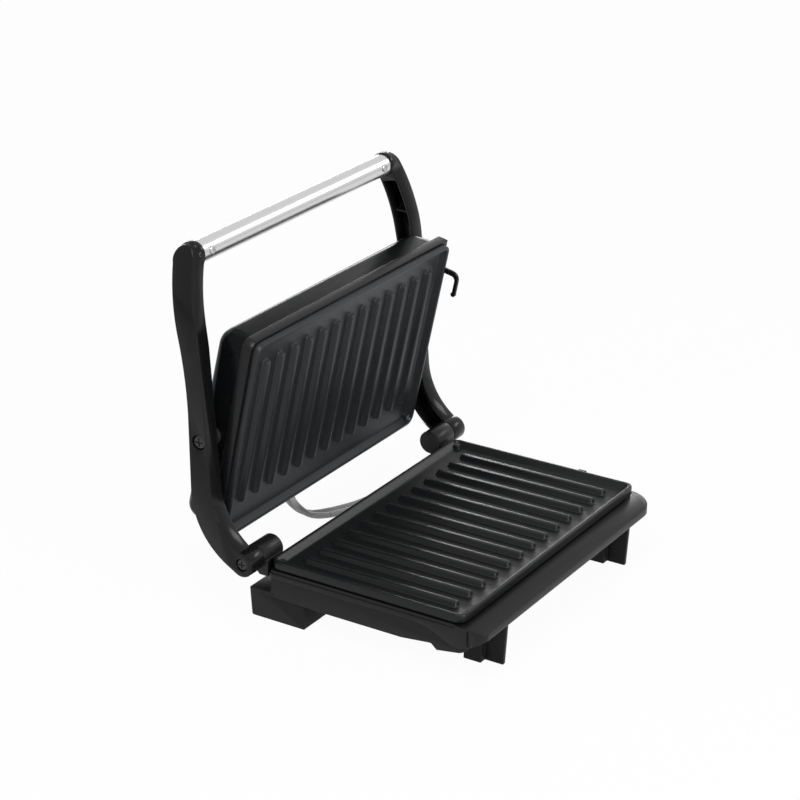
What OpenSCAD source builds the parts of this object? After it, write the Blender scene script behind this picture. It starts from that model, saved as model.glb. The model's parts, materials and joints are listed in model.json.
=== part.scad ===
// Panini press with ribbed plates, swinging arms and a floating upper lid, shown open.
// Millimetres. X runs left to right, -Y is the front, Z is up and 0 is the table.

/* [Cooking plates] */
// Width of each cooking plate
plate_w = 232; // [212:1:250]
// Depth of each cooking plate, front to back
plate_d = 147.6; // [136:0.2:165]
// Radius of a plate's corners in plan
plate_corner_r = 6.5; // [3:0.5:10]
// Height of a plate's outer rim wall
plate_rim_h = 6; // [5:0.5:7]
// Thickness of a plate's web under the ribs
plate_web = 2.6; // [2:0.1:3.2]
// Drop from the rim's top to the cooking surface
cook_drop = 4.5; // [3.6:0.1:5]
// Width of the rim's flat top
rim_top_w = 2.4; // [1.6:0.2:3.6]
// Width of the rim's inner slope
rim_slope_w = 3.6; // [2:0.2:4.4]
// Number of ribs on each plate
rib_count = 13; // [5:2:13]
// Distance between neighbouring ribs
rib_pitch = 16.33; // [14:0.01:16.8]
// Height of a rib
rib_h = 3.2; // [2:0.1:3.5]
// Width of a rib at its foot
rib_foot_w = 6.4; // [5:0.2:8]
// Width of a rib's flat top
rib_top_w = 3.6; // [2:0.2:4.6]

/* [Base] */
// Height of the lower plate's rim above the table
rim_z = 46; // [44:0.5:60]
// Height of the body's underside above the table
floor_z = 18; // [15:0.5:19]
// Thickness of the body's floor
floor_t = 3; // [2.4:0.2:3.6]
// Thickness of the body's walls
shell_wall = 2.2; // [1.8:0.1:2.8]
// How far the trim stands out beyond the plate's sides
trim_margin = 2; // [1.4:0.2:4]
// Inward lean of the body's sides, per millimetre of height
shell_draft = 0.088; // [0:0.004:0.12]
// Reach of the front ledge ahead of the plate
ledge_reach = 17; // [12:1:26]
// Height of the front ledge's lip
lip_h = 5; // [4:0.5:6]
// Plan radius of the ledge's left corner
ledge_corner_left = 6; // [3:1:14]
// Plan radius of the ledge's right corner
ledge_corner_right = 21; // [8:1:21]
// Distance between the middles of the front legs
leg_spacing = 166; // [130:1:176]
// Length of each rear foot block, front to back
block_len = 42; // [36:1:48]

/* [Hinge] */
// Distance of the hinge axis behind the plate's rear edge
hinge_back = 9.9; // [9.6:0.1:14]
// Height of the hinge axis above the lower rim's top
hinge_above_rim = 0.5; // [0:0.1:2]
// Radius of the fixed hinge barrels
barrel_r = 8.5; // [7.6:0.1:8.5]
// Length of each fixed hinge barrel
barrel_len = 21; // [16:0.5:26]
// Radius of the hinge screw's shoulder
hinge_pin_r = 3; // [2:0.1:3.5]
// Radial clearance of a turning joint
run_gap = 0.05; // [0.03:0.01:0.09]
// Side gap between turning faces
side_gap = 0.3; // [0.3:0.05:0.5]

/* [Arms] */
// Angle that the arms swing from open to closed
arm_swing = 96.7; // [92:0.1:98]
// Thickness of an arm, side to side
arm_t = 12; // [9:0.5:14]
// Width of an arm seen from the side
arm_w = 15.2; // [12:0.2:16]
// Wall thickness of the arm's channel
arm_wall = 2.4; // [1.8:0.2:3]
// Radius of the arm's hub at the hinge
hub_r = 8.6; // [8:0.1:9]
// Radius of the heel bend behind the hinge
heel_r = 55; // [40:1:60]
// Radius of the inward bend near the handle
shoulder_r = 110; // [100:2:160]
// Height of the straight stretch ends below the handle
shoulder_drop = 49; // [44:1:54]

/* [Handle] */
// Radius of the handle tube
tube_r = 7.8; // [7:0.1:8.2]
// Wall thickness of the handle tube
tube_wall = 1.5; // [1:0.1:2]
// Reach of the handle ahead of the plate when closed
handle_reach = 45.4; // [38:0.2:56]
// Height of the handle above the lower rim when closed
handle_rise = 24.8; // [22:0.2:28]
// Radius of the collar at each end of the tube
collar_r = 8.6; // [8.2:0.1:9]

/* [Lid] */
// Gap between the two plates' rims when closed
plate_gap = 0.8; // [0.6:0.1:1.6]
// Angle that the lid's face tips forward when open
lid_tilt = 12.5; // [8:0.1:14]
// Depth of the lid's pivot behind the upper plate's rim
pivot_depth = 21.7; // [20:0.1:24]
// Depth at which the bezel starts
bezel_from = 4.3; // [3.4:0.1:4.8]
// Depth at which the cover starts
cover_from = 11.7; // [11:0.1:13]
// Overall depth of the lid at its hinge end
lid_depth = 38.5; // [36:0.5:42]
// How much shallower the lid is at its free end
lid_fall = 3.6; // [0:0.2:5]
// Radius of the cover's rounded edges
cover_edge_r = 11; // [8:0.5:12]
// Plan radius of the cover's corners
cover_corner_r = 12; // [8:0.5:14]
// Thickness of the cover's walls
cover_wall = 2.2; // [1.8:0.1:2.8]
// Radius of the lid's pivot bush
bush_r = 4; // [3.4:0.1:4.4]

/* [Latch] */
// Distance of the latch pin from the plate's middle, toward the free end
latch_at = 51; // [40:1:54]
// Depth of the latch pin behind the upper plate's rim
latch_pin_depth = 16; // [14:0.5:18]
// Reach of the latch leg in front of the upper plate's rim
latch_reach = 8.2; // [8:0.1:9]
// Length of the latch leg
latch_leg = 15; // [12:0.5:18]
// Thickness of the latch, side to side
latch_t = 2.4; // [1.8:0.1:2.5]

/* [Link lead] */
// Radius of each of the two strands
strand_r = 2.2; // [1.6:0.1:2.6]

/* [Hidden] */
$fn = 64;

// Where the plate's front edge lies, so that the whole press is centred on the origin.
front_y = -100.88;
eps = 0.01;
tiny = 0.05;
// A corner's arc is this much too large, so that it crosses its tangent lines cleanly.
arc_lift = 0.002;

// Base heights and half sizes
web_back = cook_drop + plate_web;
trim_top = rim_z - plate_rim_h - 0.7;
trim_step = trim_top - 1.9;
shell_top = trim_top - 5.3;
trim_hw = plate_w / 2 + trim_margin;
shell_hw = trim_hw - 0.7;
trim_wall = 2.4;
cheek_wall = 1.4;
ledge_fall = 1.4;
lip_z = trim_top - ledge_fall - lip_h;
floor_top = floor_z + floor_t;
body_back = plate_d + 0.4;
trim_back = plate_d + 0.9;
body_front = -5;
leg_x = leg_spacing / 2;
foot_gap = 0.3;
pad_r = 5.5;
pad_recess = 1.6;

// Plate skirt and what hangs under a plate
skirt_in = 4;
skirt_t = 2;
skirt_depth = 12;
skirt_clear = 0.4;
opening_hw = plate_w / 2 - skirt_in + skirt_clear;
opening_in = skirt_in - skirt_clear;
boss_x = 66;
post_in = 30;
boss_y = plate_d / 2 - post_in;
boss_r = 4;
boss_depth = 14.2;
pan_t = 0.8;
pan_rim = 5.2;
pan_gap = 0.5;
screw_r = 1.5;
corner_screw = [plate_w / 2 - 6, plate_d / 2 - 6.2];
heater_r = 3.3;
heater_axis = web_back + heater_r + tiny;
heater_x = 88;
heater_y = 36;
heater_bend = 25;

// Hinge, lid pivot and handle, worked out closed and swung open about the hinge
hinge = [plate_d + hinge_back, rim_z + hinge_above_rim];
pivot_shift = 0.5;
lid_mid_closed = plate_d / 2 + 0.5;
pivot_closed = [lid_mid_closed + pivot_shift, rim_z + plate_gap + pivot_depth];
handle_closed = [-handle_reach, rim_z + handle_rise];
pivot = hinge + turned(pivot_closed - hinge, -arm_swing);
handle = hinge + turned(handle_closed - hinge, -arm_swing);
lid_open = 90 - lid_tilt;

// Sideways stack from the plate out to the arm
bezel_hw = plate_w / 2 + 2.5;
bezel_hd = plate_d / 2 + 1.5;
barrel_out = plate_w / 2 + 3;
barrel_in = barrel_out - barrel_len;
knuckle_in = barrel_out + side_gap;
arm_in = bezel_hw + 3.2;
arm_out = arm_in + arm_t;
head_sink = 3;
head_r = 4;
head_h = 2.2;

// Cover, given by where its side and back lines lie
cover_hw = plate_w / 2 + 2;
cover_hd = plate_d / 2 + 0.8;
cover_back = plate_d / 2 - 0.4;
bezel_back = plate_d / 2 + 0.2;
crown = 1.2;
fall_angle = atan(lid_fall / (cover_hd + cover_back - 2 * cover_edge_r));

// ---------- 2D helpers ----------

function turned(p, a) = [p[0] * cos(a) - p[1] * sin(a), p[0] * sin(a) + p[1] * cos(a)];
function unit(v) = v / norm(v);
function flat(p) = [p[0], p[1]];
function bend(a, b, c) = sign((b[0] - a[0]) * (c[1] - b[1]) - (b[1] - a[1]) * (c[0] - b[0]));
function before(pts, i) = flat(pts[(i + len(pts) - 1) % len(pts)]);
function after(pts, i) = flat(pts[(i + 1) % len(pts)]);

// One corner: its point, both tangent points, the arc's centre, radius and bend.
function corner(pts, i) =
    let (q = flat(pts[i]), u = unit(before(pts, i) - q), v = unit(after(pts, i) - q))
    let (half = acos(u * v) / 2, r = pts[i][2])
    [q, q + u * r / tan(half), q + v * r / tan(half), q + unit(u + v) * r / sin(half), r,
        bend(before(pts, i), q, after(pts, i))];

// The same outline moved inward by d, with its radii changed to match.
function inset(pts, d) = [for (i = [0:len(pts) - 1])
    let (q = flat(pts[i]), u = unit(before(pts, i) - q), v = unit(after(pts, i) - q))
    let (half = acos(u * v) / 2, side = bend(before(pts, i), q, after(pts, i)))
    let (p = q + side * unit(u + v) * d / sin(half), r = pts[i][2])
    [p[0], p[1], r == 0 ? 0 : max(r - side * d, 0)]];

function rect(x0, y0, x1, y1, r) = [[x0, y0, r], [x1, y0, r], [x1, y1, r], [x0, y1, r]];
function mid_rect(w, d, r) = rect(-w / 2, -d / 2, w / 2, d / 2, r);

// Outline with true arcs; each point is [x, y, radius], counterclockwise.
module outline(pts) {
    corners = [for (i = [0:len(pts) - 1]) corner(pts, i)];
    difference() {
        union() {
            polygon([for (k = corners) each (k[4] > 0 ? [k[1], k[2]] : [k[0]])]);
            for (k = corners) if (k[4] > 0 && k[5] > 0) corner_arc(k);
        }
        for (k = corners) if (k[4] > 0 && k[5] < 0) corner_arc(k);
    }
}

// The piece between a corner's chord and its arc, with a little overlap behind the chord.
module corner_arc(k) {
    chord_mid = (k[1] + k[2]) / 2;
    back = chord_mid + unit(k[3] - chord_mid) * min(0.1 * k[4], 0.5);
    intersection() {
        translate(k[3]) circle(r = k[4] + arc_lift);
        polygon([back, k[1], k[0], k[2]]);
    }
}

// ---------- 3D helpers ----------

module along_x(x0, x1) { translate([x0, 0, 0]) rotate([90, 0, 90]) linear_extrude(x1 - x0) children(); }
module along_y(y0, y1) { translate([0, y1, 0]) rotate([90, 0, 0]) linear_extrude(y1 - y0) children(); }
module along_z(z0, z1) { translate([0, 0, z0]) linear_extrude(z1 - z0) children(); }
module block(lo, hi) { translate(lo) cube(hi - lo); }
module rod_x(x0, x1, yz, r) { along_x(x0, x1) translate(yz) circle(r = r); }
module rod_y(y0, y1, xz, r) { along_y(y0, y1) translate(xz) circle(r = r); }
module rod_z(z0, z1, xy, r) { along_z(z0, z1) translate(xy) circle(r = r); }
module both_sides() { children(); mirror([1, 0, 0]) children(); }
module placed() { translate([0, front_y, 0]) children(); }

// From the plate's own frame (middle of its rim's top, depth up) to the base and to the lid.
module on_base() { placed() translate([0, plate_d / 2, rim_z]) mirror([0, 0, 1]) children(); }
module on_lid() {
    placed() translate([0, pivot[0], pivot[1]]) rotate([-lid_open, 0, 0])
        translate([0, -pivot_shift, -pivot_depth]) children();
}

// ---------- plates and what they carry ----------

module plate_ribs(y0, y1) {
    slope = (rib_foot_w - rib_top_w) / 2;
    foot = cook_drop + eps;
    top = cook_drop - rib_h;
    intersection() {
        along_y(y0, y1) for (i = [0:rib_count - 1]) {
            x = (i - (rib_count - 1) / 2) * rib_pitch;
            polygon([[x - rib_top_w / 2, top], [x + rib_top_w / 2, top],
                [x + rib_foot_w / 2, foot], [x - rib_foot_w / 2, foot]]);
        }
        along_x(-plate_w / 2, plate_w / 2)
            polygon([[y0 + slope, top], [y1 - slope, top], [y1, foot], [y0, foot]]);
    }
}

// A plate seen from its back: z is the depth behind the rim's top.
module ribbed_plate(y0, y1) {
    hw = plate_w / 2;
    hd = plate_d / 2;
    inner = rim_top_w + rim_slope_w;
    reach = rim_slope_w / cook_drop;
    difference() {
        union() {
            along_z(0, plate_rim_h) outline(mid_rect(plate_w, plate_d, plate_corner_r));
            along_z(plate_rim_h - eps, skirt_depth)
                outline(mid_rect(plate_w - 2 * skirt_in, plate_d - 2 * skirt_in, plate_corner_r - 3));
        }
        intersection() {
            along_y(-plate_d, plate_d) polygon([[-hw + rim_top_w - reach, -1], [hw - rim_top_w + reach, -1],
                [hw - inner, cook_drop], [-hw + inner, cook_drop]]);
            along_x(-plate_w, plate_w) polygon([[-hd + rim_top_w - reach, -1], [hd - rim_top_w + reach, -1],
                [hd - inner, cook_drop], [-hd + inner, cook_drop]]);
        }
        along_z(web_back, skirt_depth + 1) outline(mid_rect(plate_w - 2 * (skirt_in + skirt_t),
            plate_d - 2 * (skirt_in + skirt_t), 1.5));
        both_sides() block([corner_screw[0] - 5, corner_screw[1] - 5, plate_rim_h + 0.2], [hw, hd, skirt_depth + 1]);
        both_sides() rod_z(-1, cook_drop - 2, corner_screw, 2.3);
        both_sides() rod_z(-1, skirt_depth + 1, corner_screw, screw_r);
        for (sx = [-1, 1], sy = [-1, 1])
            rod_z(web_back + 1, skirt_depth + 1, [sx * boss_x, sy * boss_y], screw_r);
    }
    plate_ribs(y0, y1);
    for (sx = [-1, 1], sy = [-1, 1]) translate([sx * boss_x, sy * boss_y, 0]) difference() {
        rod_z(web_back - eps, boss_depth, [0, 0], boss_r);
        rod_z(web_back + 1, boss_depth + 1, [0, 0], screw_r);
    }
    both_sides() difference() {
        rod_z(cook_drop - 2, cook_drop + 1, corner_screw, 3);
        rod_z(0, plate_rim_h, corner_screw, screw_r);
    }
}

module heater_bend_at(x, y, a) {
    translate([x, y, heater_axis]) rotate([0, 0, a]) rotate_extrude(angle = 90)
        translate([heater_bend, 0]) circle(r = heater_r);
}

module heater_loop() {
    fx = heater_x - heater_bend;
    fy = heater_y - heater_bend;
    heater_bend_at(fx, fy, 0);
    heater_bend_at(-fx, fy, 90);
    heater_bend_at(-fx, -fy, 180);
    heater_bend_at(fx, -fy, 270);
    rod_y(-fy, fy, [heater_x, heater_axis], heater_r);
    rod_y(-fy, fy, [-heater_x, heater_axis], heater_r);
    rod_x(-fx, fx, [-heater_y, heater_axis], heater_r);
    both_sides() rod_x(22, fx, [heater_y, heater_axis], heater_r);
    both_sides() rod_x(12, 22 + eps, [heater_y, heater_axis], heater_r / 2);
}

module reflector_pan() {
    w = plate_w - 2 * (skirt_in + skirt_t + pan_gap);
    d = plate_d - 2 * (skirt_in + skirt_t + pan_gap);
    difference() {
        along_z(boss_depth - pan_rim, boss_depth + pan_t) outline(mid_rect(w, d, 4));
        along_z(boss_depth - pan_rim - 1, boss_depth) outline(mid_rect(w - 2 * pan_t, d - 2 * pan_t, 3.2));
        for (sx = [-1, 1], sy = [-1, 1]) rod_z(0, 30, [sx * boss_x, sy * boss_y], screw_r + 0.2);
        for (sx = [-1, 1]) rod_z(0, 30, [sx * 17, heater_y], 2.5);
        both_sides() block([corner_screw[0] - 6, corner_screw[1] - 6, 0], [plate_w / 2, plate_d / 2, boss_depth + 5]);
    }
}

module thermostat_body() {
    back = boss_depth + pan_t;
    rod_z(back, back + 1.2, [0, 0], 8.5);
    rod_z(back + 1.2 - eps, back + 7, [0, 0], 7);
    for (s = [-1, 1]) block([s * 5 - 0.4, -2.4, back + 6], [s * 5 + 0.4, 2.4, back + 9.4]);
}

// ---------- base ----------

function body_side(top) = [[body_front, top, 0], [body_front, shell_top - 9, 4],
    [1, floor_z + 1.6, 8], [19.5, floor_z - 1.4, 1.2], [23.5, floor_z + 2.6, 2],
    [46, floor_z, 0], [body_back, floor_z, 0], [body_back, top, 0]];
function body_plan() = [[-shell_hw, body_front, 7], [shell_hw, body_front, 7],
    [shell_hw, body_back, 4], [-shell_hw, body_back, 4]];
function half_width_at(z) = shell_hw - shell_draft * (shell_top - z);
function body_front_view(top) = [[-half_width_at(0), 0, 0], [half_width_at(0), 0, 0],
    [half_width_at(top), top, 0], [-half_width_at(top), top, 0]];

module body_form(d, top) {
    intersection() {
        along_x(-shell_hw, shell_hw) outline(inset(body_side(top), d));
        along_z(-1, top + 1) outline(inset(body_plan(), d));
        along_y(-40, plate_d + 40) outline(inset(body_front_view(top), d));
    }
}

block_hw = [86, shell_hw];
block_y = [plate_d - 25.6, plate_d - 25.6 + block_len];
block_top = floor_z + 4.5;

module foot_block() {
    intersection() {
        along_x(block_hw[0], shell_hw)
            outline([[block_y[0], foot_gap, 0.8], [block_y[1], foot_gap, 1.5],
                [block_y[1], block_top, 1.5], [block_y[0], block_top, 0]]);
        along_y(0, plate_d + 60) outline(body_front_view(shell_top));
    }
}

module front_leg() {
    block([leg_x - 7, 2, foot_gap], [leg_x + 7, 15, floor_top - 1]);
    along_x(leg_x - 1.5, leg_x + 1.5)
        polygon([[-11.3, foot_gap], [3, foot_gap], [3, shell_top - 5], [-13.3, shell_top - 5]]);
}

// Middles of the pads under the feet, on the right side.
foot_spots = [[leg_x, 8.5], [(block_hw[0] + 113) / 2, block_y[1] - 21]];

module shell_post(x, y) {
    post_top = rim_z - boss_depth - pan_t;
    difference() {
        rod_z(floor_top - eps, post_top, [x, y], 4.6);
        rod_z(0, post_top + 1, [x, y], screw_r + 0.2);
    }
}

cover_panel = [130, 56];
cover_panel_y = 78;
cover_lip = 5;
cover_lip_t = 1.4;
cover_screw_r = 1.1;
cover_screw_spots = [for (sx = [-1, 1], sy = [-1, 1])
    [sx * (cover_panel[0] + cover_lip) / 2, cover_panel_y + sy * 20]];

module base_shell() {
    color([0.07, 0.07, 0.075]) placed() {
        difference() {
            body_form(0, shell_top);
            intersection() {
                body_form(shell_wall, shell_top + 20);
                block([-200, -50, floor_top], [200, 300, 90]);
            }
            cheek_band(-side_gap, cheek_wall + side_gap);
            for (p = cover_screw_spots) rod_z(0, floor_top + 1, p, cover_screw_r);
            translate([0, cover_panel_y, 0]) {
                along_z(0, floor_z + cover_lip_t)
                    outline(mid_rect(cover_panel[0] + 2 * cover_lip, cover_panel[1] + 2 * cover_lip, 5));
                along_z(0, floor_top + 1) outline(mid_rect(cover_panel[0], cover_panel[1], 4));
            }
            for (sx = [-1, 1], y = [post_in, plate_d - post_in]) {
                rod_z(0, floor_top + 3, [sx * boss_x, y], screw_r + 0.2);
                rod_z(0, floor_z + 1.8, [sx * boss_x, y], 3.4);
            }
            rod_y(body_back - 5, body_back + 1, [lead_x, lead_z], gland_hole_r);
            rod_y(body_back - 5, body_back + 1, [mains_x, mains_z], gland_hole_r);
        }
        for (sx = [-1, 1], y = [post_in, plate_d - post_in]) shell_post(sx * boss_x, y);
        for (p = cover_screw_spots) difference() {
            rod_z(floor_top - 0.5, floor_top + 5, p, 2.4);
            rod_z(floor_z, floor_top + 3.6, p, cover_screw_r);
        }
    }
}

// Feet moulded in one with the body; each is what stands outside the body's form.
module front_legs() {
    color([0.07, 0.07, 0.075]) placed() both_sides() difference() {
        front_leg();
        body_form(0, shell_top);
        block([leg_x - 5, 4, foot_gap + 3], [leg_x + 5, 13, floor_z - 0.5]);
        rod_z(-1, foot_gap + pad_recess, foot_spots[0], pad_r);
    }
}

module rear_feet() {
    color([0.07, 0.07, 0.075]) placed() both_sides() difference() {
        foot_block();
        body_form(0, shell_top);
        block([block_hw[0] + shell_wall, block_y[0] + shell_wall, foot_gap + 3],
            [half_width_at(0) - shell_wall, block_y[1] - shell_wall, floor_z - 0.5]);
        rod_z(-1, foot_gap + pad_recess, foot_spots[1], pad_r);
    }
}

// The trim's plan outline, with the ledge across the front.
function trim_plan() = [[-trim_hw, -ledge_reach, ledge_corner_left], [trim_hw, -ledge_reach, ledge_corner_right],
    [trim_hw, trim_back, 4], [-trim_hw, trim_back, 4]];

// The trim's band seen from the side: its lower edge swoops down at the front cheek.
cheek_z = shell_top - 10;
function cheek_side() = [[-40, lip_z, 0], [-ledge_reach, lip_z, 8], [-2, cheek_z, 11], [7.5, cheek_z, 9],
    [24, shell_top - 1.5, 20], [36, shell_top, 20], [plate_d + 20, shell_top, 0],
    [plate_d + 20, trim_step, 0], [-40, trim_step, 0]];

// The band's wall, from depth d0 inside the trim's outline to depth d1.
module cheek_band(d0, d1) {
    intersection() {
        along_z(0, 60) difference() {
            outline(inset(trim_plan(), d0));
            outline(inset(trim_plan(), d1));
        }
        along_x(-trim_hw - 2, trim_hw + 2) outline(cheek_side());
    }
}

keeper_y = lid_mid_closed - latch_at + 17.6;
keeper_z = rim_z - 3;
keeper_t = 1.4;

module base_trim() {
    ledge_slope = ledge_fall / (ledge_reach - 1);
    color([0.05, 0.05, 0.055]) placed() {
        difference() {
            union() {
                // cheeks and lip, and the thicker wall that stands on the body's walls
                cheek_band(0, cheek_wall);
                intersection() {
                    cheek_band(0, trim_wall);
                    block([-200, body_front + 12, shell_top], [200, 300, trim_step + eps]);
                }
                // upper band behind the step line
                intersection() {
                    along_z(trim_step - eps, trim_top) outline(inset(trim_plan(), 1));
                    block([-200, -0.5, 0], [200, 300, 90]);
                }
                // ledge across the front
                intersection() {
                    along_z(20, 60) outline(trim_plan());
                    along_x(-trim_hw - 1, trim_hw + 1) polygon([[-40, trim_top - 2.2 - 39 * ledge_slope],
                        [5, trim_top - 2.2], [5, trim_top], [-1, trim_top], [-40, trim_top - 39 * ledge_slope]]);
                }
                both_sides() corner_gusset();
            }
            along_z(0, 60) intersection() {
                translate([0, plate_d / 2]) outline(mid_rect(2 * opening_hw, plate_d - 2 * opening_in, 3));
                difference() {
                    translate([0, plate_d / 2]) square([400, 400], center = true);
                    for (s = [-1, 1]) translate([s * (corner_screw[0] + 46.3), plate_d / 2 + corner_screw[1] + 46.3])
                        square([100, 100], center = true);
                }
            }
            both_sides() {
                block([trim_hw - 1, body_front - 1.5, 0], [trim_hw + 5, body_front + 1, trim_top - 1.6]);
                rod_z(0, 60, [corner_screw[0], plate_d / 2 + corner_screw[1]], screw_r);
                for (x = bracket_screw_x) {
                    rod_y(trim_back - 4, trim_back + 1, [x, bracket_screw_z], bracket_screw_r);
                    rod_y(trim_back - 6, trim_back - trim_wall, [x, bracket_screw_z], bracket_head_r + 0.2);
                }
            }
        }
        latch_keeper();
    }
}

module corner_gusset() {
    x = corner_screw[0];
    y = plate_d / 2 + corner_screw[1];
    block([x - 3.7, y - 3.7, shell_top + 0.3], [trim_hw - 2, trim_back - 2, trim_step + eps]);
}

// Inverted bracket on the right side that the latch's tip swings under.
module latch_keeper() {
    along_x(trim_hw - eps, trim_hw + 2.8) outline([[keeper_y + 3.6, shell_top + 0.5, 0],
        [keeper_y + 6.4, shell_top + 0.5, 0], [keeper_y + 6.4, keeper_z + keeper_t, 1],
        [keeper_y, keeper_z + keeper_t, 0.8],
        [keeper_y, keeper_z, 0], [keeper_y + 3.6, keeper_z, 0.6]]);
}

module bottom_cover() {
    gap = 0.2;
    color([0.06, 0.06, 0.06]) placed() translate([0, cover_panel_y, 0]) difference() {
        union() {
            along_z(floor_z, floor_z + cover_lip_t - tiny) outline(mid_rect(cover_panel[0] + 2 * cover_lip - 2 * gap,
                cover_panel[1] + 2 * cover_lip - 2 * gap, 4.8));
            along_z(floor_z, floor_top - 0.4)
                outline(mid_rect(cover_panel[0] - 2 * gap, cover_panel[1] - 2 * gap, 3.8));
        }
        for (p = cover_screw_spots) rod_z(0, 30, [p[0], p[1] - cover_panel_y], cover_screw_r + 0.2);
        for (i = [-4:4]) along_z(0, 40) translate([i * 9, 0]) outline(mid_rect(3, 30, 1.4));
    }
}

module lower_plate() { color([0.13, 0.13, 0.14]) on_base() ribbed_plate(-59.8, 57.2); }
module lower_heater() { color([0.55, 0.55, 0.56]) on_base() heater_loop(); }
module lower_reflector() { color([0.75, 0.75, 0.76]) on_base() reflector_pan(); }
module lower_thermostat() { color([0.8, 0.78, 0.7]) on_base() thermostat_body(); }

module thermal_fuse() {
    back = boss_depth + pan_t;
    color([0.8, 0.75, 0.55]) on_base() translate([30, 0, back + 2 + tiny]) {
        rod_x(-7, 7, [0, 0], 2);
        rod_x(-13, 13, [0, 0], 0.5);
    }
}

module terminal_block() {
    x = 44;
    y = plate_d - 20;
    color([0.9, 0.9, 0.86]) placed() difference() {
        block([x - 12, y - 7, floor_top], [x + 12, y + 7, floor_top + 8]);
        for (i = [-1:1]) {
            rod_y(y - 10, y + 10, [x + i * 7, floor_top + 3.4], 1.6);
            rod_z(floor_top + 4, floor_top + 9, [x + i * 7, y], 1.8);
        }
    }
}

// ---------- hinge ----------

bracket_screw_x = [barrel_in + 6, barrel_out - 6];
bracket_screw_r = 1.2;
bracket_head_r = 1.7;
bracket_screw_z = shell_top + bracket_head_r;

module hinge_bracket() {
    front = trim_back;
    difference() {
        union() {
            rod_x(barrel_in, barrel_out, hinge, barrel_r);
            along_x(barrel_in + 2, barrel_out - 2)
                outline([[front, shell_top - 0.5, 0], [front + 7, shell_top - 0.5, 2],
                    [hinge[0] + barrel_r - 1, hinge[1], 0], [front, hinge[1] - 1, 0]]);
        }
        rod_x(barrel_in + 4, barrel_out + 1, hinge, hinge_pin_r);
        for (x = bracket_screw_x) rod_y(front - 1, front + 5, [x, bracket_screw_z], bracket_screw_r);
    }
}

module hinge_bracket_right() { color([0.06, 0.06, 0.065]) placed() hinge_bracket(); }
module hinge_bracket_left() { color([0.06, 0.06, 0.065]) placed() mirror([1, 0, 0]) hinge_bracket(); }

module hinge_screws() {
    seat = arm_out - head_sink;
    color([0.6, 0.6, 0.62]) placed() both_sides() difference() {
        union() {
            rod_x(barrel_in + 4, seat + 0.2, hinge, hinge_pin_r);
            rod_x(seat + 0.2 - eps, seat + 0.2 + head_h, hinge, head_r);
        }
        cross_slot(seat + 0.2 + head_h, hinge);
    }
}

// A cross recess in a screw head whose outer face lies at x.
module cross_slot(x, yz) {
    translate([x, yz[0], yz[1]]) for (a = [0, 90]) rotate([a, 0, 0]) block([-1, -2.4, -0.45], [1, 2.4, 0.45]);
}

module rubber_feet() {
    color([0.03, 0.03, 0.03]) placed() for (s = foot_spots) both_sides()
        rod_z(0, foot_gap + pad_recess, s, pad_r - 0.1);
}

module base_screws() {
    seat = floor_z + 1.8;
    color([0.65, 0.65, 0.67]) placed() {
        for (sx = [-1, 1], y = [post_in, plate_d - post_in]) {
            rod_z(seat - 1.6, seat, [sx * boss_x, y], 3);
            rod_z(seat - eps, rim_z - web_back - 2, [sx * boss_x, y], screw_r);
        }
        both_sides() {
            x = corner_screw[0];
            y = plate_d / 2 + corner_screw[1];
            top = rim_z - cook_drop + 2;
            rod_z(shell_top + 1, top + eps, [x, y], screw_r);
            rod_z(top, top + 1.2, [x, y], 2.1);
        }
        both_sides() for (x = bracket_screw_x) {
            rod_y(trim_back - trim_wall - 1.4, trim_back - trim_wall, [x, bracket_screw_z], bracket_head_r);
            rod_y(trim_back - trim_wall - eps, trim_back + 4.5, [x, bracket_screw_z], bracket_screw_r);
        }
        for (p = cover_screw_spots) {
            rod_z(floor_z - 1, floor_z, p, 2.1);
            rod_z(floor_z - eps, floor_top + 3, p, cover_screw_r);
        }
    }
}

// ---------- glands and link lead ----------

lead_x = 78;
lead_z = floor_top + 5.5;
mains_x = -40;
mains_z = floor_top + 6;
gland_hole_r = 5;
gland_bore_r = 3.4;

// A grommet in a wall: out is its reach outside, grip the distance between its two flanges.
module wall_gland(bore_r, out, grip) {
    difference() {
        union() {
            rod_y(-grip - 1, 0.5, [0, 0], gland_hole_r - 0.1);
            rod_y(0, 1.6, [0, 0], gland_hole_r + 1.5);
            rod_y(1.6 - eps, out, [0, 0], gland_hole_r - 0.6);
            rod_y(-grip - 1.6, -grip, [0, 0], gland_hole_r + 0.4);
        }
        rod_y(-10, 20, [0, 0], bore_r);
    }
}

module mains_gland() { color([0.05, 0.05, 0.05]) placed() translate([mains_x, body_back, mains_z]) wall_gland(3.3, 7, shell_wall + eps); }
module lead_gland_base() {
    color([0.05, 0.05, 0.05]) placed() translate([lead_x, body_back, lead_z]) difference() {
        wall_gland(eps, 5, shell_wall + eps);
        for (s = [-1, 1]) rod_y(-10, 20, [s * strand_r, 0], strand_r + 0.15);
    }
}

module lead_gland_lid() {
    color([0.05, 0.05, 0.05]) on_lid() translate([lid_lead_x, lid_lead_y, lid_lead_depth]) difference() {
        wall_gland(eps, 4, cover_wall + 1.6);
        for (s = [-1, 1]) rod_y(-10, 20, [0, s * strand_r], strand_r + 0.15);
    }
}

lid_lead_x = -10;
lid_lead_depth = 21;
lid_lead_y = cover_back - 0.2;

// Middle of the lead from the lid down to the loop near the table, then on to the base.
upper_route = [[-10, 204.66, 52.2], [-10, 205.75, 47.3], [-9.7, 207.2, 40], [-8, 207.2, 32], [-4, 205, 25],
    [2, 201.7, 18.5], [9, 197.6, 15], [17, 192.5, 14]];
lower_route = [[17.3, 192.3, 14], [26, 187.5, 14], [38, 182, 14], [50, 178, 14.5], [60, 174, 16],
    [69, 168.5, 19.5], [75.3, 161.5, 24], [78, 155, 26.4], [78, 150.6, lead_z]];

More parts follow.
